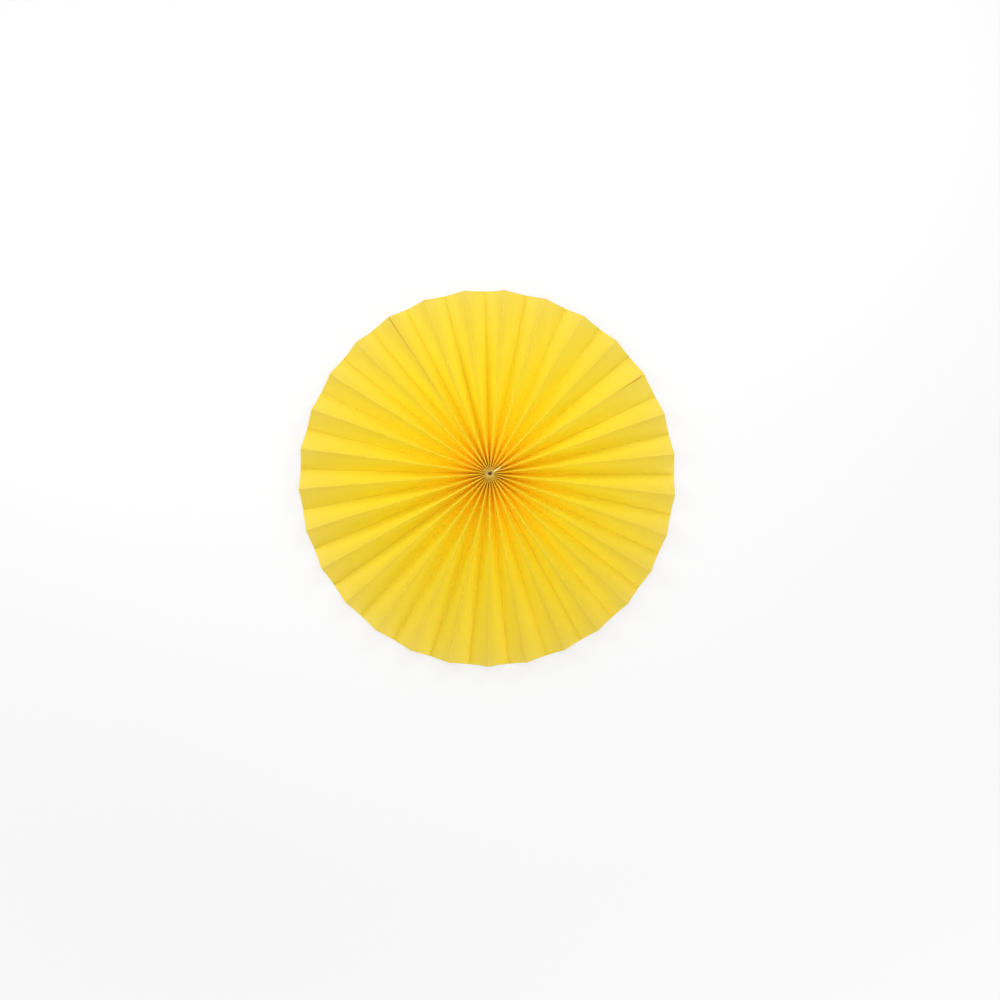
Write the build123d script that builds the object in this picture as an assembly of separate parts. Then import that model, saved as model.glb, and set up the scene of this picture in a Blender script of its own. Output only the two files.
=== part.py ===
from build123d import *
import math
import os

# Paper fan rosette: four accordion-folded sheets joined into a full circle.
# It lies flat with its front up. The origin is on the hub's axis, at the level
# of the valley folds. +Z is the way the front faces, and angles run
# anticlockwise from +X, as seen from the front.

# Overall size, pleats and paper, in millimetres
ROSETTE_DIAMETER = 350.0
PLEAT_COUNT = 29
LOWEST_RIM_DEPTH = 11.2
PAPER_THICKNESS = 0.15
FOLD_GAP = 0.04

# The hub stands off the rim's centre, because the sheets are not quite square
HUB_OFFSET = 4.85
HUB_OFFSET_ANGLE = 57.0

# Folds on the rim, in degrees: even steps with a slow swing, so that the
# pleats stand wide open on one side and tighter on the other
FIRST_FOLD_ANGLE = 9.2
WIDE_SWING = 2.7
WIDE_SWING_PHASE = 148.0
NARROW_SWING = 0.75
NARROW_SWING_PHASE = 142.0
SEAM_SPLAY = 0.9
SEAM_SPLAY_REACH = 2.5

# Sheets and seams, counted in pleats: the first seam closes the circle
FIRST_SEAM_PLEAT_COUNT = 2
SHEET_PLEAT_COUNTS = [7, 7, 8]
GLUE_GAP = 0.04
TAB_TRIM = 1.0
COVERED_EDGE_TRIM = 0.3
OPEN_EDGE_REACH = 0.3

# The two cut edges that stand off the sheet below them, towards the rim
CLOSING_LIFT = 2.4
CLOSING_LIFT_SHARPNESS = 14
SECOND_LIFT = 1.2
SECOND_LIFT_SHARPNESS = 5

# Double-sided tape in the closing seam, its margins measured from the
# ridge, the hub's hole and the rim
TAPE_THICKNESS = 0.07
TAPE_WIDTH = 10.0
TAPE_TOP_MARGIN = 0.3
TAPE_HUB_MARGIN = 1.1
TAPE_RIM_MARGIN = 25.0
TAPE_GAP = 0.05
TAPE_TAIL_LENGTH = 8.5
TAPE_TAIL_WIDTH = 1.3
TAPE_TAIL_STANDOFF = 0.2

# Binding thread, through holes punched near the inner ends
THREAD_DIAMETER = 0.8
THREAD_HUB_MARGIN = 4.1
THREAD_DEPTH = 12.5
THREAD_CLEARANCE = 0.3

# Flat steps along each face, and sides of the thread and its holes
FACE_STEP_COUNT = 10
THREAD_SIDE_COUNT = 6
HOLE_SIDE_COUNT = 6

# Worked out from the sizes above
FOLD_COUNT = 2 * PLEAT_COUNT
FOLD_STEP = 360.0 / FOLD_COUNT
FOLD_WIDTH = PAPER_THICKNESS + FOLD_GAP
HALF_SHEET = PAPER_THICKNESS / 2
RIM_RADIUS = ROSETTE_DIAMETER / 2
VALLEY_HEIGHT = HALF_SHEET
GLUED_PITCH = PAPER_THICKNESS + GLUE_GAP
TAPED_PITCH = PAPER_THICKNESS + TAPE_THICKNESS + 2 * TAPE_GAP

SEAM_A = 2 * FIRST_SEAM_PLEAT_COUNT
SEAM_B = SEAM_A + 2 * SHEET_PLEAT_COUNTS[0]
SEAM_C = SEAM_B + 2 * SHEET_PLEAT_COUNTS[1]
SEAM_D = SEAM_C + 2 * SHEET_PLEAT_COUNTS[2]
SEAM_A_AGAIN = SEAM_A + FOLD_COUNT


def rim_angle(fold):
    """Angle of a fold at the rim. Mountain folds are even, valleys odd."""
    even = fold * FOLD_STEP
    angle = FIRST_FOLD_ANGLE + even
    angle += WIDE_SWING * math.cos(math.radians(even - WIDE_SWING_PHASE))
    angle += NARROW_SWING * math.cos(math.radians(2 * even - NARROW_SWING_PHASE))
    from_seam = (fold - SEAM_A + PLEAT_COUNT) % FOLD_COUNT - PLEAT_COUNT
    if from_seam != 0:
        splay = SEAM_SPLAY * math.exp((1 - abs(from_seam)) / SEAM_SPLAY_REACH)
        angle += math.copysign(splay, from_seam)
    return angle


def rim_radius(angle):
    """Distance from the hub's axis to the round rim, along an angle."""
    turn = math.radians(angle - HUB_OFFSET_ANGLE)
    across = HUB_OFFSET * math.sin(turn)
    return math.sqrt(RIM_RADIUS**2 - across**2) - HUB_OFFSET * math.cos(turn)


def rim_point(fold, side=0.0, height=0.0):
    """Point at the rim: a fold's place, moved sideways and up."""
    angle = rim_angle(fold)
    return Vector(rim_radius(angle), side, height).rotate(Axis.Z, angle)


def face_run(fold):
    """Level distance at the rim from a fold to the next one."""
    return (rim_point(fold + 1) - rim_point(fold)).length


# The sheets have one pleat width, so the widest spread leaves the lowest rim
WIDEST_RUN = max(face_run(fold) for fold in range(FOLD_COUNT))
MEAN_RUN = sum(face_run(fold) for fold in range(FOLD_COUNT)) / FOLD_COUNT
PLEAT_WIDTH = math.hypot(WIDEST_RUN, LOWEST_RIM_DEPTH)
RIM_SLOPE_SINE = math.sqrt(1 - (MEAN_RUN / PLEAT_WIDTH) ** 2)
HUB_RIDGE_HEIGHT = VALLEY_HEIGHT + PLEAT_WIDTH


def ridge_height(fold, share):
    """Height of a mountain fold, at a share of the way from hub to rim.

    The faces beside it keep their width all the way, so the fold comes down
    as they spread.
    """
    run = share * (face_run(fold - 1) + face_run(fold)) / 2
    return VALLEY_HEIGHT + math.sqrt(PLEAT_WIDTH**2 - run**2)


class Layer:
    """One face of one sheet: the paper between two neighbouring folds."""

    def __init__(self, face):
        self.face = face
        self.hub_side = 0.0
        self.rim_side = 0.0


def cut_sheets():
    """Layers of the four sheets.

    Sheets 1 and 3 end at a cut edge on a mountain fold. Sheets 2 and 4 fold
    over there and end in a tab, one face further on.
    """
    ends = [
        (SEAM_A, SEAM_B - 1),
        (SEAM_B - 1, SEAM_C),
        (SEAM_C, SEAM_D - 1),
        (SEAM_D - 1, SEAM_A_AGAIN),
    ]
    return [[Layer(face) for face in range(first, last + 1)] for first, last in ends]


def stack_sheets(sheets):
    """Place every layer on the way round, as the pressed stack at the hub.

    The tabs lie under sheet 1 at seams A and B, and over sheet 3 at seams C
    and D. Returns the order of the layers and the girth of the stack.
    """
    one, two, three, four = sheets
    order = one + two[:-1] + [three[0], two[-1]] + three[1:-1]
    order += [four[0], three[-1]] + four[1:]
    hub_place = 0.0
    rim_place = 0.0
    for layer in order:
        layer.hub_side = hub_place
        layer.rim_side = rim_place
        pitch = FOLD_WIDTH
        slant = 1.0
        if layer in (one[-1], three[0], four[0]):
            pitch = GLUED_PITCH
            slant = RIM_SLOPE_SINE
        if layer is order[-1]:
            pitch = TAPED_PITCH
            slant = RIM_SLOPE_SINE
        hub_place += pitch
        rim_place += pitch / slant
    return order, hub_place, rim_place


SHEETS = cut_sheets()
ORDER, HUB_GIRTH, RIM_GIRTH = stack_sheets(SHEETS)
HUB_HOLE_RADIUS = HUB_GIRTH / (2 * math.pi)
FACE_LENGTH = RIM_RADIUS - HUB_HOLE_RADIUS


def side_at_rim(layer, fold):
    """Sideways place of a layer at the rim, from the middle of a fold."""
    places = []
    for other in ORDER:
        for lap in (-1, 0, 1):
            if other.face + lap * FOLD_COUNT in (fold - 1, fold):
                places.append(other.rim_side + lap * RIM_GIRTH)
    return layer.rim_side - (min(places) + max(places)) / 2


def stack_turn():
    """Turn of the pressed stack that brings it nearest to the rim's folds."""
    total = 0.0
    for layer in ORDER:
        middle = (rim_angle(layer.face) + rim_angle(layer.face + 1)) / 2
        total += middle - math.degrees(layer.hub_side / HUB_HOLE_RADIUS)
    return total / len(ORDER)


STACK_TURN = stack_turn()


def hub_point(side, height):
    """Point on the wall of the hub's hole."""
    turn = STACK_TURN + math.degrees(side / HUB_HOLE_RADIUS)
    return Vector(HUB_HOLE_RADIUS, 0, height).rotate(Axis.Z, turn)


class Corner:
    """A corner of a sheet's section, with its place at the hub and the rim."""

    def __init__(self, layer, fold):
        self.fold = fold
        self.is_ridge = fold % 2 == 0
        self.station = sum(face_run(number) for number in range(fold))
        hub_height = HUB_RIDGE_HEIGHT if self.is_ridge else VALLEY_HEIGHT
        rim_height = ridge_height(fold, 1.0) if self.is_ridge else VALLEY_HEIGHT
        self.hub = Vector(layer.hub_side, hub_height)
        self.rim = Vector(self.station + side_at_rim(layer, fold), rim_height)
        self.lift = 0.0
        self.lift_sharpness = 1

    def reach_past(self, inner, length):
        """Move the corner on, along the face that starts at an inner corner."""
        self.hub += (self.hub - inner.hub).normalized() * length
        self.rim += (self.rim - inner.rim).normalized() * length

    def arch(self, next_fold):
        """Rise over the straight line, half way along."""
        ridge = self.fold if self.is_ridge else next_fold
        ends = (HUB_RIDGE_HEIGHT + ridge_height(ridge, 1.0)) / 2
        share_up = (self.hub.Y - VALLEY_HEIGHT) / PLEAT_WIDTH
        return share_up * (ridge_height(ridge, 0.5) - ends)


def offset_line(points, distance):
    """A bent line moved sideways, to its left where distance is positive."""
    steps = [(end - start).normalized() for start, end in zip(points, points[1:])]
    normals = [Vector(-step.Y, step.X) for step in steps]
    moved = []
    for number, point in enumerate(points):
        before = normals[max(number - 1, 0)]
        after = normals[min(number, len(normals) - 1)]
        mitre = (before + after) * (distance / (1 + before.dot(after)))
        moved.append(point + mitre)
    return moved


def fold_row(start, end, corner, arch, lift):
    """Points from hub to rim along a corner, arched and lifted at the rim.

    Each face is creased into flat triangles, so every second step moves only
    one of its two long edges on: the ridge's edge first, then the valley's.
    """
    row = []
    for number in range(2 * FACE_STEP_COUNT + 1):
        ahead = 1 if corner.is_ridge else 0
        share = (number + ahead) // 2 / FACE_STEP_COUNT
        rise = Vector(0, 0, 4 * arch * share * (1 - share))
        lifted = lift * share**corner.lift_sharpness
        row.append(start + (end - start) * share + rise + lifted)
    return row


def section_rows(corners, distance):
    """Rows of points from hub to rim on one side of a sheet, one a corner."""
    hub_line = offset_line([corner.hub for corner in corners], distance)
    rim_line = offset_line([corner.rim for corner in corners], distance)
    rows = []
    for number, corner in enumerate(corners):
        neighbour = corners[number + 1 if number % 2 == 0 else number - 1]
        start = hub_point(hub_line[number].X, hub_line[number].Y)
        side = rim_line[number].X - corner.station
        end = rim_point(corner.fold, side, rim_line[number].Y)
        face = (neighbour.rim - corner.rim).normalized()
        outwards = math.copysign(1.0, corner.station - neighbour.station)
        level, up = face.Y * outwards, -face.X * outwards
        lift = rim_point(corner.fold, level * corner.lift, up * corner.lift)
        lift -= rim_point(corner.fold)
        rows.append(fold_row(start, end, corner, corner.arch(neighbour.fold), lift))
    return rows


def between(first, second, share):
    """Row of points at a share of the way from one row to another."""
    return [start + (end - start) * share for start, end in zip(first, second)]


def part_of_row(row, start, end):
    """Piece of a row between two shares of its length."""
    steps = len(row) - 1
    first, last = start * steps, end * steps
    places = [first, *range(math.floor(first) + 1, math.ceil(last)), last]
    points = []
    for place in places:
        step = min(math.floor(place), steps - 1)
        points.append(row[step] + (row[step + 1] - row[step]) * (place - step))
    return points


def triangles(first, second):
    """Flat faces between two rows of points."""
    faces = []
    for number in range(len(first) - 1):
        a, b = first[number], first[number + 1]
        c, d = second[number + 1], second[number]
        for corners in ((a, b, c), (a, c, d)):
            sides = zip(corners, (corners[1], corners[2], corners[0]))
            if all((end - start).length > 1e-6 for start, end in sides):
                faces.append(Face(Wire.make_polygon(corners)))
    return faces


def end_walls(front, back, place):
    """Faces that close one end of two sides, at a place in their rows."""
    return triangles([row[place] for row in front], [row[place] for row in back])


def closed_sheet(front, back):
    """Solid sheet between the rows of its two sides."""
    faces = triangles(front[0], back[0]) + triangles(front[-1], back[-1])
    for rows in (front, back):
        for first, second in zip(rows, rows[1:]):
            faces += triangles(first, second)
    faces += end_walls(front, back, 0) + end_walls(front, back, -1)
    return Solid(Shell(faces))


def folded_sheet(number):
    """One accordion-folded sheet, with its tabs or cut edges."""
    corners = []
    for layer in SHEETS[number]:
        corners.append(Corner(layer, layer.face))
        corners.append(Corner(layer, layer.face + 1))
    if number == 0:
        corners[0].reach_past(corners[1], OPEN_EDGE_REACH)
        corners[0].lift = CLOSING_LIFT
        corners[0].lift_sharpness = CLOSING_LIFT_SHARPNESS
        corners[-1].reach_past(corners[-2], OPEN_EDGE_REACH)
        corners[-1].lift = SECOND_LIFT
        corners[-1].lift_sharpness = SECOND_LIFT_SHARPNESS
    sides = []
    for distance in (HALF_SHEET, -HALF_SHEET):
        rows = section_rows(corners, distance)
        if number != 0:
            length = COVERED_EDGE_TRIM if corners[0].is_ridge else TAB_TRIM
            rows[0] = between(rows[0], rows[1], length / PLEAT_WIDTH)
            rows[-1] = between(rows[-1], rows[-2], length / PLEAT_WIDTH)
        sides.append(rows)
    return closed_sheet(*sides)


def closing_tape():
    """Double-sided tape in the closing seam, its tail bent over at the hub."""
    tab = SHEETS[3][-1]
    corners = [Corner(tab, tab.face), Corner(tab, tab.face + 1)]
    start = TAPE_HUB_MARGIN / FACE_LENGTH
    tail_end = start + TAPE_TAIL_LENGTH / FACE_LENGTH
    end = 1 - TAPE_RIM_MARGIN / FACE_LENGTH
    top_share = TAPE_TOP_MARGIN / PLEAT_WIDTH
    foot_share = top_share + TAPE_WIDTH / PLEAT_WIDTH
    near = HALF_SHEET + TAPE_GAP
    strips = []
    tops = []
    for distance in (near + TAPE_THICKNESS, near):
        ridge, valley = section_rows(corners, distance)
        rows = [between(valley, ridge, 1 - share) for share in (foot_share, top_share)]
        along_tail = [part_of_row(row, start, tail_end) for row in rows]
        beyond = [part_of_row(row, tail_end, end) for row in rows]
        strips.append([near_hub + rest[1:] for near_hub, rest in zip(along_tail, beyond)])
        tops.append(along_tail[1])
    outer, inner = tops
    along = inner[-1] - inner[0]
    sideways = Vector(along.Y, -along.X, 0).normalized() * TAPE_TAIL_WIDTH
    rise = Vector(0, 0, TAPE_TOP_MARGIN + HALF_SHEET + TAPE_TAIL_STANDOFF)
    over = rise + Vector(0, 0, TAPE_THICKNESS)
    tail_outer = [outer, [point + over for point in outer]]
    tail_outer.append([point + over + sideways for point in inner])
    tail_inner = [inner, [point + rise for point in inner]]
    tail_inner.append([point + rise + sideways for point in inner])
    strip_outer, strip_inner = strips
    bend = len(outer) - 1
    faces = triangles(strip_outer[0], strip_inner[0])
    faces += triangles(strip_outer[1][bend:], strip_inner[1][bend:])
    faces += triangles(tail_outer[-1], tail_inner[-1])
    for rows in (strip_outer, strip_inner, tail_outer, tail_inner):
        for first, second in zip(rows, rows[1:]):
            faces += triangles(first, second)
    faces += end_walls(strip_outer, strip_inner, 0)
    faces += end_walls(strip_outer, strip_inner, -1)
    faces += end_walls(tail_outer, tail_inner, 0)
    faces += end_walls(tail_outer, tail_inner, -1)
    return Solid(Shell(faces))


def ring(radius, sides):
    """Ring through all the layers at the hub, with a many-sided section."""
    height = HUB_RIDGE_HEIGHT - THREAD_DEPTH
    place = Pos(HUB_HOLE_RADIUS + THREAD_HUB_MARGIN, height)
    return revolve(Plane.XZ * place * RegularPolygon(radius, sides), Axis.Z)


def write_parts():
    os.makedirs("parts", exist_ok=True)
    thread = ring(THREAD_DIAMETER / 2, THREAD_SIDE_COUNT)
    holes = ring(THREAD_DIAMETER / 2 + THREAD_CLEARANCE, HOLE_SIDE_COUNT)
    for number in range(len(SHEETS)):
        export_step(folded_sheet(number) - holes, f"parts/folded_sheet_{number + 1}.step")
    export_step(closing_tape(), "parts/closing_tape.step")
    export_step(thread, "parts/binding_thread.step")


write_parts()
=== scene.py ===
import math

import bmesh
import bpy
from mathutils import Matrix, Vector, noise


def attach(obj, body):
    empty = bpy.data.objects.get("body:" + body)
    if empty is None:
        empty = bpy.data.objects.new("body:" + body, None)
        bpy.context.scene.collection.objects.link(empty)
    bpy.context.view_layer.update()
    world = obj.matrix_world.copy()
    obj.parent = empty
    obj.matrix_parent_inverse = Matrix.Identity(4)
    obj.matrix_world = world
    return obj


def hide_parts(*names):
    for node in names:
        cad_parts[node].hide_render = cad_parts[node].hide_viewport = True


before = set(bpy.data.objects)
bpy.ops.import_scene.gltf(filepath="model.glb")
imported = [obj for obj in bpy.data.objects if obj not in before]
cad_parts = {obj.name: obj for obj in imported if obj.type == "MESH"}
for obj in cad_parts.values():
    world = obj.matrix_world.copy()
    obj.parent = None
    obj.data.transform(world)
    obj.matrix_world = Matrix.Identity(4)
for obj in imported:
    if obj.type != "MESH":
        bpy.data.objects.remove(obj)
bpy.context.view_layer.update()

# The paper is worked out in millimetres and scaled once, when a mesh is made.
# The floor, the lamps and the camera are in metres.
MM = 0.001

# The rosette's sizes, as in the solids
ROSETTE_DIAMETER = 350.0
PLEAT_COUNT = 29
LOWEST_RIM_DEPTH = 11.2
PAPER_THICKNESS = 0.15
FOLD_GAP = 0.04
HUB_OFFSET = 4.85
HUB_OFFSET_ANGLE = 57.0
FIRST_FOLD_ANGLE = 9.2
WIDE_SWING = 2.7
WIDE_SWING_PHASE = 148.0
NARROW_SWING = 0.75
NARROW_SWING_PHASE = 142.0
SEAM_SPLAY = 0.9
SEAM_SPLAY_REACH = 2.5
FIRST_SEAM_PLEAT_COUNT = 2
SHEET_PLEAT_COUNTS = [7, 7, 8]
GLUE_GAP = 0.04
TAB_TRIM = 1.0
COVERED_EDGE_TRIM = 0.3
OPEN_EDGE_REACH = 0.3
TAPE_THICKNESS = 0.07
TAPE_WIDTH = 10.0
TAPE_TOP_MARGIN = 0.3
TAPE_HUB_MARGIN = 1.1
TAPE_RIM_MARGIN = 25.0
TAPE_GAP = 0.05
TAPE_TAIL_LENGTH = 8.5
TAPE_TAIL_WIDTH = 1.3
THREAD_HUB_MARGIN = 4.1
HOLE_RADIUS = 0.7

FOLD_COUNT = 2 * PLEAT_COUNT
FOLD_STEP = 360.0 / FOLD_COUNT
FOLD_WIDTH = PAPER_THICKNESS + FOLD_GAP
HALF_SHEET = PAPER_THICKNESS / 2
RIM_RADIUS = ROSETTE_DIAMETER / 2
VALLEY_HEIGHT = HALF_SHEET
GLUED_PITCH = PAPER_THICKNESS + GLUE_GAP
TAPED_PITCH = PAPER_THICKNESS + TAPE_THICKNESS + 2 * TAPE_GAP
SEAM_A = 2 * FIRST_SEAM_PLEAT_COUNT
SEAM_B = SEAM_A + 2 * SHEET_PLEAT_COUNTS[0]
SEAM_C = SEAM_B + 2 * SHEET_PLEAT_COUNTS[1]
SEAM_D = SEAM_C + 2 * SHEET_PLEAT_COUNTS[2]
SEAM_A_AGAIN = SEAM_A + FOLD_COUNT

# What only the look needs: how far the faces round out and sag, the folds
# wander, the hub's ends stand uneven and the ridges are rounded. A start and a
# reach are shares of the way from the hub to the rim.
SWELL = 0.5
SWELL_START = 0.28
SWELL_REACH = 0.22
HUB_SWELL_SKEW = 0.5
RIM_SWELL_SKEW_GAIN = 4
SAG = 0.8
SAG_START = 0.4
SAG_REACH = 0.4
SAG_SPREAD = 0.35
SAG_SPREAD_REACH = 0.45
WANDER = 0.35
WANDER_REACH = 0.4
HUB_UNEVENNESS = 0.5
FOLD_ROUNDING = 0.05
# How far the two open edges stand off at the rim, each part of it with the
# power of the way out that it grows with
CLOSING_LIFTS = [(0.4, 0.6), (3.6, 12)]
SECOND_LIFTS = [(0.6, 1.5), (0.9, 5)]
# The steps through the noise from fold to fold and from hub to rim, and its level
WANDER_NOISE = (3.7, 2.2, 0.5)
HUB_NOISE = (2.9, 4.4, 0.2)
SAG_NOISE = (5.3, 1.3, 7.1)
# How much of its way out a cell's corner beside a punched hole keeps, which
# makes the hole round
HOLE_CORNER_SHARE = 0.7
# How far the tape's tail stands above the paper's edge
TAPE_TAIL_RISE = 0.2


def turned(length, side, height, degrees):
    """Point at a length along a direction, moved sideways and up."""
    cosine = math.cos(math.radians(degrees))
    sine = math.sin(math.radians(degrees))
    return Vector((length * cosine - side * sine, length * sine + side * cosine, height))


def rim_angle(fold):
    """Direction of a fold from the hub, in degrees."""
    even = fold * FOLD_STEP
    angle = FIRST_FOLD_ANGLE + even
    angle += WIDE_SWING * math.cos(math.radians(even - WIDE_SWING_PHASE))
    angle += NARROW_SWING * math.cos(math.radians(2 * even - NARROW_SWING_PHASE))
    from_seam = (fold - SEAM_A + PLEAT_COUNT) % FOLD_COUNT - PLEAT_COUNT
    if from_seam != 0:
        splay = SEAM_SPLAY * math.exp((1 - abs(from_seam)) / SEAM_SPLAY_REACH)
        angle += math.copysign(splay, from_seam)
    return angle


def rim_radius(angle):
    """Way from the hub to the rim, which is a circle around another middle."""
    turn = math.radians(angle - HUB_OFFSET_ANGLE)
    across = HUB_OFFSET * math.sin(turn)
    return math.sqrt(RIM_RADIUS**2 - across**2) - HUB_OFFSET * math.cos(turn)


def rim_point(fold, side=0.0, height=0.0):
    """Outer end of a fold, moved sideways and up."""
    angle = rim_angle(fold)
    return turned(rim_radius(angle), side, height, angle)


def face_run(fold):
    """Level width at the rim of the face after a fold."""
    return (rim_point(fold + 1) - rim_point(fold)).length


RUNS = [face_run(fold) for fold in range(FOLD_COUNT)]
PLEAT_WIDTH = math.hypot(max(RUNS), LOWEST_RIM_DEPTH)
RIM_SLOPE_SINE = math.sqrt(1 - (sum(RUNS) / FOLD_COUNT / PLEAT_WIDTH) ** 2)
HUB_RIDGE_HEIGHT = VALLEY_HEIGHT + PLEAT_WIDTH


def ridge_height(fold, share):
    """Height of a ridge whose faces keep their width as they spread."""
    run = share * (RUNS[(fold - 1) % FOLD_COUNT] + RUNS[fold % FOLD_COUNT]) / 2
    return VALLEY_HEIGHT + math.sqrt(PLEAT_WIDTH**2 - run**2)


class Layer:
    """One face of one sheet, between two neighbouring folds."""

    def __init__(self, face):
        self.face = face
        self.hub_side = 0.0
        self.rim_side = 0.0
        self.first_share = 0.0
        self.last_share = 1.0
        self.lift = {}


def cut_sheets():
    """The layers of the four sheets, with their trimmed and lifted ends."""
    ends = [
        (SEAM_A, SEAM_B - 1),
        (SEAM_B - 1, SEAM_C),
        (SEAM_C, SEAM_D - 1),
        (SEAM_D - 1, SEAM_A_AGAIN),
    ]
    sheets = [[Layer(face) for face in range(first, last + 1)] for first, last in ends]
    trims = (-OPEN_EDGE_REACH, TAB_TRIM, COVERED_EDGE_TRIM, TAB_TRIM)
    for layers, trim in zip(sheets, trims):
        layers[0].first_share = trim / PLEAT_WIDTH
        layers[-1].last_share = 1 - trim / PLEAT_WIDTH
    sheets[0][0].lift = {0: CLOSING_LIFTS}
    sheets[0][-1].lift = {1: SECOND_LIFTS}
    return sheets


def stack_sheets(sheets):
    """Place every layer on the way round, as the pressed stack at the hub."""
    one, two, three, four = sheets
    order = one + two[:-1] + [three[0], two[-1]] + three[1:-1]
    order += [four[0], three[-1]] + four[1:]
    hub_place = 0.0
    rim_place = 0.0
    for layer in order:
        layer.hub_side = hub_place
        layer.rim_side = rim_place
        pitch, slant = FOLD_WIDTH, 1.0
        if layer in (one[-1], three[0], four[0]):
            pitch, slant = GLUED_PITCH, RIM_SLOPE_SINE
        if layer is order[-1]:
            pitch, slant = TAPED_PITCH, RIM_SLOPE_SINE
        hub_place += pitch
        rim_place += pitch / slant
    return order, hub_place, rim_place


SHEETS = cut_sheets()
ORDER, HUB_GIRTH, RIM_GIRTH = stack_sheets(SHEETS)
HUB_HOLE_RADIUS = HUB_GIRTH / (2 * math.pi)
FACE_LENGTH = RIM_RADIUS - HUB_HOLE_RADIUS
STACK_TURN = sum(
    (rim_angle(layer.face) + rim_angle(layer.face + 1)) / 2
    - math.degrees(layer.hub_side / HUB_HOLE_RADIUS)
    for layer in ORDER
) / len(ORDER)


def side_at_rim(layer, fold):
    """Sideways place of a layer among all that meet at a fold's outer end."""
    places = []
    for other in ORDER:
        for lap in (-1, 0, 1):
            if other.face + lap * FOLD_COUNT in (fold - 1, fold):
                places.append(other.rim_side + lap * RIM_GIRTH)
    return layer.rim_side - (min(places) + max(places)) / 2


def growth(share, start, reach):
    """Smooth rise from 0 to 1 that begins at a start and takes a reach."""
    part = min(max((share - start) / reach, 0.0), 1.0)
    return part * part * (3 - 2 * part)


def own_noise(number, share, steps):
    """Unevenness of a fold's or a face's own, that changes along it."""
    from_fold, along, level = steps
    return noise.noise(Vector((number % FOLD_COUNT * from_fold, share * along, level)))


def wander(fold, share):
    """Small sideways drift of a ridge fold between the hub and the rim."""
    if fold % 2:
        return Vector()
    drift = 2 * own_noise(fold, share, WANDER_NOISE)
    amount = WANDER * drift * growth(share, 0.0, WANDER_REACH)
    return turned(0.0, amount, 0.0, rim_angle(fold))


class Edge:
    """A layer's edge on one of its two folds, from the hub to the rim."""

    def __init__(self, layer, fold):
        self.fold = fold
        self.is_ridge = fold % 2 == 0
        hub_height = HUB_RIDGE_HEIGHT if self.is_ridge else VALLEY_HEIGHT
        if self.is_ridge:
            own = own_noise(fold, 1.0, HUB_NOISE)
            hub_height -= HUB_UNEVENNESS * min(max(0.5 + own, 0), 1)
        rim_height = ridge_height(fold, 1.0) if self.is_ridge else VALLEY_HEIGHT
        turn = STACK_TURN + math.degrees(layer.hub_side / HUB_HOLE_RADIUS)
        self.start = turned(HUB_HOLE_RADIUS, 0, hub_height, turn)
        self.end = rim_point(fold, side_at_rim(layer, fold), rim_height)
        self.arch = 0.0
        if self.is_ridge:
            ends = (hub_height + rim_height) / 2
            self.arch = ridge_height(fold, 0.5) - ends

    def at(self, share):
        """Point at a share of the way from the hub to the rim."""
        rise = Vector((0, 0, 4 * self.arch * share * (1 - share)))
        straight = self.start.lerp(self.end, share)
        return straight + rise + wander(self.fold, share)


def swell(face, across, share):
    """How far a face rounds out, high up near the hub and low near the rim."""
    down = across if face % 2 == 0 else 1 - across
    down = min(max(down, 0), 1)
    amount = SWELL * growth(share, SWELL_START, SWELL_REACH)
    skew = HUB_SWELL_SKEW + RIM_SWELL_SKEW_GAIN * share * share
    return amount * math.sin(math.pi * down**skew)


def sag(face, across, share):
    """How far a face hangs below the flat towards the rim."""
    own = 2 * own_noise(face, share, SAG_NOISE)
    depth = SAG * growth(share, SAG_START, SAG_REACH)
    depth += SAG_SPREAD * own * growth(share, 0.0, SAG_SPREAD_REACH)
    return depth * math.sin(math.pi * min(max(across, 0), 1))


def face_point(layer, edges, across, share, raised=0.0):
    """Point on a layer, at shares of the way across it and along it."""
    first, last = (edge.at(share) for edge in edges)
    point = first.lerp(last, across)
    along = (edges[0].end - edges[0].start) + (edges[1].end - edges[1].start)
    front = along.cross(last - first).normalized()
    off = swell(layer.face, across, share) - sag(layer.face, across, share)
    point += front * (off + raised)
    for number, lifts in layer.lift.items():
        weight = 1 - across if number == 0 else across
        for lift, sharpness in lifts:
            point += front * lift * weight * share**sharpness
    return point


# Shares of the way across a face and along it at which the cells meet. The
# punched hole is in the middle of the face.
HOLE_ACROSS = 0.5
HOLE_SHARE = THREAD_HUB_MARGIN / FACE_LENGTH
HOLE_REACH = HOLE_RADIUS / FACE_LENGTH
FIRST_EVEN_STATION = 0.045
EVEN_STATION_COUNT = 34
ACROSS = [0, 0.02, 0.06, 0.12, 0.2, 0.3, 0.4, 0.472, HOLE_ACROSS]
ACROSS += [1 - across for across in reversed(ACROSS[:-1])]
STATIONS = [0, 0.007, HOLE_SHARE - HOLE_REACH, HOLE_SHARE, HOLE_SHARE + HOLE_REACH]
STATIONS += [
    FIRST_EVEN_STATION + (1 - FIRST_EVEN_STATION) * number / EVEN_STATION_COUNT
    for number in range(EVEN_STATION_COUNT)
]
STATIONS += [0.9985, 1.0]
HOLE_STEP = ACROSS.index(HOLE_ACROSS)
HOLE_STATION = STATIONS.index(HOLE_SHARE)

# The cells of the tape, and of its tail: one column up and two sideways
TAPE_COLUMNS = 4
TAPE_TAIL_ROWS = 4
TAPE_FURTHER_ROWS = 40
TAIL_SIDE_COLUMNS = 2
# How far ahead the tail looks for the direction of the paper's edge
TAIL_AHEAD = 0.01


def grid(columns, rows):
    """A flat sheet of cells, with the column and row of each vertex."""
    bm = bmesh.new()
    bmesh.ops.create_grid(bm, x_segments=columns, y_segments=rows, size=1)
    places = {}
    for vert in bm.verts:
        column = round((vert.co.x + 1) / 2 * columns)
        row = round((vert.co.y + 1) / 2 * rows)
        places[vert] = (column, row)
    return bm, places


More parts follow.
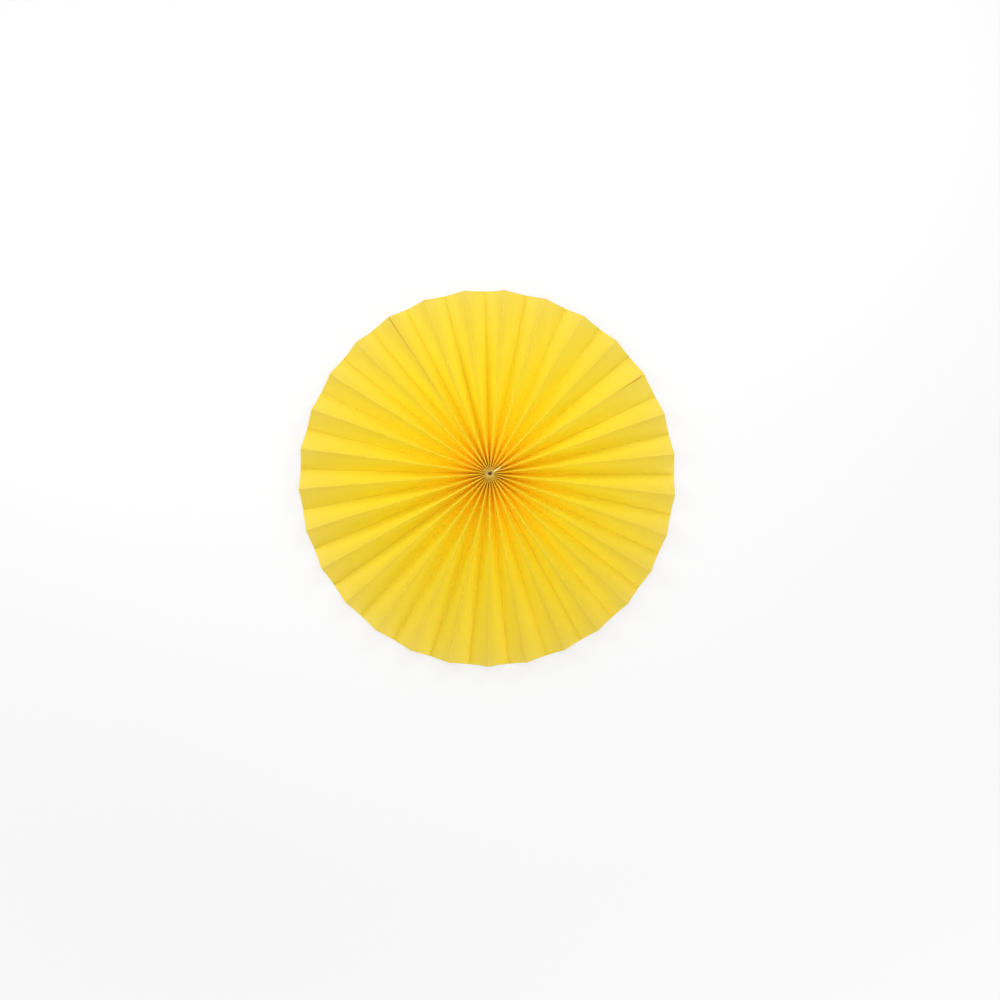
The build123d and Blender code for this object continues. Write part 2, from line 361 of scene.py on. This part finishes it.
def finish_piece(bm, name, node, material, thickness):
    """Turn a folded sheet of cells into a piece of the model."""
    bmesh.ops.scale(bm, vec=(MM, MM, MM), verts=bm.verts)
    mesh = bpy.data.meshes.new(name)
    bm.to_mesh(mesh)
    bm.free()
    for polygon in mesh.polygons:
        polygon.use_smooth = True
    mesh.materials.append(material)
    piece = bpy.data.objects.new(name, mesh)
    bpy.context.scene.collection.objects.link(piece)
    shell = piece.modifiers.new("paper thickness", "SOLIDIFY")
    shell.thickness = thickness * MM
    shell.offset = 0.0
    shell.use_even_offset = True
    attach(piece, "root")
    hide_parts(node)


def edges_of(layer):
    """A layer's edges on its two folds."""
    return Edge(layer, layer.face), Edge(layer, layer.face + 1)


def columns_of(layers):
    """What each column of a sheet lies on: a face, or the turn of a fold."""
    columns = []
    for number, layer in enumerate(layers):
        span = layer.last_share - layer.first_share
        for step, across in enumerate(ACROSS):
            place = layer.first_share + span * across
            columns.append((number, place, step))
        if number < len(layers) - 1:
            columns.append((number, None, None))
    return columns


def folded_sheet(number, material):
    """One sheet of paper, folded up cell by cell from a flat grid."""
    layers = SHEETS[number]
    edges = [edges_of(layer) for layer in layers]
    columns = columns_of(layers)
    bm, places = grid(len(columns) - 1, len(STATIONS) - 1)
    uv = bm.loops.layers.uv.new("paper")
    holes = []
    for vert, (column, row) in places.items():
        index, across, step = columns[column]
        share = STATIONS[row]
        layer = layers[index]
        if across is None:
            here = face_point(layer, edges[index], 1.0, share)
            there = face_point(layers[index + 1], edges[index + 1], 0.0, share)
            up = FOLD_ROUNDING if edges[index][1].is_ridge else 0.0
            vert.co = (here + there) / 2 + Vector((0, 0, up))
            continue
        if abs(step - HOLE_STEP) == 1 and abs(row - HOLE_STATION) == 1:
            across = HOLE_ACROSS + (across - HOLE_ACROSS) * HOLE_CORNER_SHARE
            share = HOLE_SHARE + (share - HOLE_SHARE) * HOLE_CORNER_SHARE
        vert.co = face_point(layer, edges[index], across, share)
        if step == HOLE_STEP and row == HOLE_STATION:
            holes.append(vert)
    for face in bm.faces:
        for loop in face.loops:
            column, row = places[loop.vert]
            index, across, _ = columns[column]
            depth = (layers[index].face + (1 if across is None else across)) % 2
            loop[uv].uv = (min(depth, 2 - depth), STATIONS[row])
    bmesh.ops.delete(bm, geom=holes, context="VERTS")
    name = f"paper_sheet_{number + 1}"
    node = f"folded_sheet_{number + 1}"
    finish_piece(bm, name, node, material, PAPER_THICKNESS)


def tape_piece(bm, name, material):
    """Turn a sheet of cells into a piece of the closing tape."""
    finish_piece(bm, name, "closing_tape", material, TAPE_THICKNESS)


def closing_tape(material):
    """The tape in the closing seam, and its tail bent over at the hub."""
    tab = SHEETS[-1][-1]
    edges = edges_of(tab)
    start = TAPE_HUB_MARGIN / FACE_LENGTH
    end = 1 - TAPE_RIM_MARGIN / FACE_LENGTH
    tail = TAPE_TAIL_LENGTH / FACE_LENGTH
    top = TAPE_TOP_MARGIN / PLEAT_WIDTH
    foot = top + TAPE_WIDTH / PLEAT_WIDTH
    near = HALF_SHEET + TAPE_GAP + TAPE_THICKNESS / 2
    bm, places = grid(TAPE_COLUMNS, TAPE_TAIL_ROWS + TAPE_FURTHER_ROWS)
    for vert, (column, row) in places.items():
        across = top + (foot - top) * column / TAPE_COLUMNS
        share = start + tail * row / TAPE_TAIL_ROWS
        further = row - TAPE_TAIL_ROWS
        if further > 0:
            share = start + tail + (end - start - tail) * further / TAPE_FURTHER_ROWS
        vert.co = face_point(tab, edges, across, share, near)
    tape_piece(bm, "tape_strip", material)

    over = TAPE_TOP_MARGIN + HALF_SHEET + TAPE_TAIL_RISE
    bm, places = grid(1 + TAIL_SIDE_COLUMNS, TAPE_TAIL_ROWS)
    for vert, (column, row) in places.items():
        share = start + tail * row / TAPE_TAIL_ROWS
        vert.co = face_point(tab, edges, top, share, near)
        ahead = face_point(tab, edges, top, share + TAIL_AHEAD, near) - vert.co
        sideways = Vector((ahead.y, -ahead.x, 0)).normalized()
        vert.co.z += over * min(column, 1)
        vert.co += sideways * TAPE_TAIL_WIDTH * max(column - 1, 0) / TAIL_SIDE_COLUMNS
    tape_piece(bm, "tape_tail", material)


# Colour of the paper, at shares of the way from the hub to the rim: tan at the very hub,
# then lighter and brighter yellow than at the rim, a painted light that stands in for
# the light deep in the pleats near the hub
PAPER_AND_GROOVE_LIGHT_COLOURS = [
    (0.0, (0.99, 0.76, 0.13)),
    (0.020, (1.0, 0.81, 0.08)),
    (0.045, (1.0, 0.895, 0.03)),
    (0.130, (1.0, 0.893, 0.028)),
    (0.280, (0.984, 0.870, 0.026)),
    (0.450, (0.970, 0.846, 0.032)),
    (1.0, (0.895, 0.699, 0.065)),
]
# Painted shade across a face, at shares of the way from a ridge's pressed fold to a
# valley's: a dark line along the valley, where shade falls, the face a little more
# orange towards the ridge, and a thin darker line at the ridge, partly a pressed-crease
# mark and partly painted shade
FOLD_SHADE_TONES = [
    (0.0, (0.97, 0.87, 0.95)),
    (0.012, (1.0, 0.90, 1.0)),
    (0.3, (1.0, 0.96, 1.0)),
    (0.60, (1.0, 0.975, 1.0)),
    (0.85, (1.0, 1.0, 1.0)),
    (0.965, (0.99, 0.995, 0.99)),
    (1.0, (0.85, 0.86, 0.83)),
]
# How strongly that painted shade shows, at shares of the way from the hub to the rim
FOLD_SHADE_STRENGTHS = [(0.0, 0.4), (0.12, 0.8), (0.3, 1.0), (0.6, 0.9), (1.0, 0.3)]
# How much of the floor's white is its own, by metres from the hub
FLOOR_GLOWS = [(0.0, 0.0), (0.05, 0.0), (0.051, 0.6), (0.4, 0.6), (1.0, 1.0)]


def node_tree(name):
    """A new material with its nodes, its links and its shader."""
    material = bpy.data.materials.new(name)
    material.use_nodes = True
    nodes, links = material.node_tree.nodes, material.node_tree.links
    return material, nodes, links, nodes["Principled BSDF"]


def filled_ramp(nodes, colours):
    """A colour ramp with these colours at these shares of the way."""
    ramp = nodes.new("ShaderNodeValToRGB")
    stops = ramp.color_ramp.elements
    stops[0].color = (*colours[0][1], 1)
    stops[1].color = (*colours[-1][1], 1)
    for share, colour in colours[1:-1]:
        stops.new(share).color = (*colour, 1)
    return ramp


def grey_ramp(nodes, levels):
    """A ramp with these plain levels at these places."""
    return filled_ramp(nodes, [(place, (level,) * 3) for place, level in levels])


def multiplied(nodes, links, first, second):
    """The product of two colours."""
    product = nodes.new("ShaderNodeMix")
    product.data_type = "RGBA"
    product.blend_type = "MULTIPLY"
    product.inputs["Factor"].default_value = 1.0
    links.new(first, product.inputs["A"])
    links.new(second, product.inputs["B"])
    return product


def cloudy(nodes, links, place, scale, detail=2.0):
    """Noise in the object's own coordinates, with so many waves a metre."""
    cloud = nodes.new("ShaderNodeTexNoise")
    cloud.inputs["Scale"].default_value = scale
    cloud.inputs["Detail"].default_value = detail
    links.new(place.outputs["Object"], cloud.inputs["Vector"])
    return cloud.outputs["Fac"]


def dye_between(nodes, links, shader, cloud, first, second):
    """Colour a surface between two colours, as a noise says."""
    tone = nodes.new("ShaderNodeMix")
    tone.data_type = "RGBA"
    tone.inputs["A"].default_value = (*first, 1)
    tone.inputs["B"].default_value = (*second, 1)
    links.new(cloud, tone.inputs["Factor"])
    links.new(tone.outputs["Result"], shader.inputs["Base Color"])


def roughen(nodes, links, shader, cloud, strength, distance):
    """Give a surface the relief of a noise."""
    bump = nodes.new("ShaderNodeBump")
    bump.inputs["Strength"].default_value = strength
    bump.inputs["Distance"].default_value = distance
    links.new(cloud, bump.inputs["Height"])
    links.new(bump.outputs["Normal"], shader.inputs["Normal"])


def paper_material():
    """Matt yellow craft paper, dyed through, with painted light in the deep pleats near
    the hub and painted shade along the folds, partly a pressed-crease mark at the
    ridges.
    """
    material, nodes, links, shader = node_tree("yellow craft paper")
    sheet = nodes.new("ShaderNodeUVMap")
    sheet.uv_map = "paper"
    parts = nodes.new("ShaderNodeSeparateXYZ")
    links.new(sheet.outputs["UV"], parts.inputs["Vector"])
    # Paper colour from the hub to the rim, with the painted light of the deep pleats
    # near the hub
    dye_and_groove_light = filled_ramp(nodes, PAPER_AND_GROOVE_LIGHT_COLOURS)
    links.new(parts.outputs["Y"], dye_and_groove_light.inputs["Fac"])
    # Painted shade along the folds, darkest along the valleys
    fold_shade = filled_ramp(nodes, FOLD_SHADE_TONES)
    links.new(parts.outputs["X"], fold_shade.inputs["Fac"])
    strength = grey_ramp(nodes, FOLD_SHADE_STRENGTHS)
    links.new(parts.outputs["Y"], strength.inputs["Fac"])
    place = nodes.new("ShaderNodeTexCoord")
    shade = nodes.new("ShaderNodeMapRange")
    shade.inputs["To Min"].default_value = 0.98
    shade.inputs["To Max"].default_value = 1.01
    links.new(cloudy(nodes, links, place, 22.0, 3.0), shade.inputs["Value"])
    tone = multiplied(nodes, links, dye_and_groove_light.outputs["Color"], shade.outputs["Result"])
    # The painted shade of the folds is laid over the paper's colour
    pressed = multiplied(nodes, links, tone.outputs["Result"], fold_shade.outputs["Color"])
    links.new(strength.outputs["Color"], pressed.inputs["Factor"])
    links.new(pressed.outputs["Result"], shader.inputs["Base Color"])
    fibres = cloudy(nodes, links, place, 1400.0, 4.0)
    roughen(nodes, links, shader, fibres, 0.25, 0.00006)
    shader.inputs["Roughness"].default_value = 0.5
    shader.inputs["Specular IOR Level"].default_value = 0.5
    return material


def tape_material():
    """Pale double-sided tape, nearly matt."""
    material, nodes, links, shader = node_tree("double-sided tape")
    cloud = cloudy(nodes, links, nodes.new("ShaderNodeTexCoord"), 600.0)
    dye_between(nodes, links, shader, cloud, (0.95, 0.75, 0.21), (0.98, 0.80, 0.27))
    shader.inputs["Roughness"].default_value = 0.6
    return material


def thread_material():
    """Yellow cotton thread with a fine twist."""
    material, nodes, links, shader = node_tree("cotton thread")
    twist = cloudy(nodes, links, nodes.new("ShaderNodeTexCoord"), 2500.0)
    dye_between(nodes, links, shader, twist, (0.92, 0.68, 0.08), (0.97, 0.76, 0.12))
    roughen(nodes, links, shader, twist, 0.4, 0.00005)
    shader.inputs["Roughness"].default_value = 0.9
    return material


def floor_material():
    """White floor that takes the shadow and is partly white of its own."""
    material, nodes, links, shader = node_tree("white floor")
    shader.inputs["Base Color"].default_value = (0.95, 0.95, 0.95, 1)
    shader.inputs["Roughness"].default_value = 0.9
    shader.inputs["Specular IOR Level"].default_value = 0.0
    path = nodes.new("ShaderNodeLightPath")
    place = nodes.new("ShaderNodeTexCoord")
    reach = nodes.new("ShaderNodeVectorMath")
    reach.operation = "LENGTH"
    links.new(place.outputs["Object"], reach.inputs[0])
    own = grey_ramp(nodes, FLOOR_GLOWS)
    links.new(reach.outputs["Value"], own.inputs["Fac"])
    share = nodes.new("ShaderNodeMath")
    share.operation = "MULTIPLY"
    links.new(path.outputs["Is Camera Ray"], share.inputs[0])
    links.new(own.outputs["Color"], share.inputs[1])
    glow = nodes.new("ShaderNodeEmission")
    mix = nodes.new("ShaderNodeMixShader")
    links.new(share.outputs[0], mix.inputs["Fac"])
    links.new(shader.outputs["BSDF"], mix.inputs[1])
    links.new(glow.outputs["Emission"], mix.inputs[2])
    links.new(mix.outputs["Shader"], nodes["Material Output"].inputs["Surface"])
    return material


# The floor reaches this far to each side, a little below the lowest folds.
FLOOR_REACH = 3.0
FLOOR_HEIGHT = -0.0002
# Strength of the white surroundings as light on the object
SURROUNDING_LIGHT = 0.375
# Each lamp's bearing and rise in degrees, distance and width in metres, and power
LAMPS = {
    "overhead": (90, 89.9, 1.6, 0.8, 8.65),
    "upper left": (150, 35, 0.7, 0.4, 1.2),
    "upper right": (60, 35, 0.7, 0.4, 1.18),
    "lower right": (300, 25, 1.6, 0.8, 4.74),
}
# The camera looks straight down. Its place and its lens in millimetres frame
# the rosette as in the photograph.
CAMERA_PLACE = (0.0093, -0.0245, 1.5)
CAMERA_LENS = 57.6
CAMERA_SENSOR_WIDTH = 36.0
# So often light is followed from face to face, down to the bottom of the pleats.
LIGHT_BOUNCES = 64


def lay_floor():
    """Pale floor under the rosette."""
    bm = bmesh.new()
    bmesh.ops.create_grid(bm, x_segments=1, y_segments=1, size=FLOOR_REACH)
    bmesh.ops.translate(bm, vec=(0, 0, FLOOR_HEIGHT), verts=bm.verts)
    mesh = bpy.data.meshes.new("floor")
    bm.to_mesh(mesh)
    bm.free()
    floor = bpy.data.objects.new("floor", mesh)
    bpy.context.scene.collection.objects.link(floor)
    mesh.materials.append(floor_material())


def surround():
    """Even surroundings: white to look at, dimmer as light on the object."""
    world = bpy.data.worlds.new("studio")
    bpy.context.scene.world = world
    world.use_nodes = True
    nodes, links = world.node_tree.nodes, world.node_tree.links
    background = nodes["Background"]
    background.inputs["Color"].default_value = (1, 1, 1, 1)
    path = nodes.new("ShaderNodeLightPath")
    seen = nodes.new("ShaderNodeMath")
    seen.operation = "MAXIMUM"
    links.new(path.outputs["Is Camera Ray"], seen.inputs[0])
    links.new(path.outputs["Is Glossy Ray"], seen.inputs[1])
    level = nodes.new("ShaderNodeMapRange")
    level.inputs["To Min"].default_value = SURROUNDING_LIGHT
    level.inputs["To Max"].default_value = 1.0
    links.new(seen.outputs[0], level.inputs["Value"])
    links.new(level.outputs["Result"], background.inputs["Strength"])


def soft_lamp(name, bearing, rise, distance, width, power):
    """Round lamp aimed at the hub, from a bearing and a rise in degrees."""
    light = bpy.data.lights.new(name, "AREA")
    light.shape = "DISK"
    light.size = width
    light.energy = power
    lamp = bpy.data.objects.new(name, light)
    level = distance * math.cos(math.radians(rise))
    place = turned(level, 0, distance * math.sin(math.radians(rise)), bearing)
    lamp.location = place
    lamp.rotation_euler = (-place).to_track_quat("-Z", "Y").to_euler()
    lamp.visible_camera = False
    bpy.context.scene.collection.objects.link(lamp)


def set_camera():
    """Straight above, framed as the photograph."""
    data = bpy.data.cameras.new("camera")
    data.sensor_width = CAMERA_SENSOR_WIDTH
    data.lens = CAMERA_LENS
    eye = bpy.data.objects.new("camera", data)
    eye.location = CAMERA_PLACE
    bpy.context.scene.collection.objects.link(eye)
    bpy.context.scene.camera = eye


paper = paper_material()
for number in range(len(SHEETS)):
    folded_sheet(number, paper)
closing_tape(tape_material())
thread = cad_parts["binding_thread"]
thread.data.materials.clear()
thread.data.materials.append(thread_material())

lay_floor()
surround()
for name, settings in LAMPS.items():
    soft_lamp(name, *settings)
set_camera()
bpy.context.scene.view_settings.view_transform = "Standard"
bpy.context.scene.cycles.diffuse_bounces = LIGHT_BOUNCES
bpy.context.scene.cycles.max_bounces = LIGHT_BOUNCES
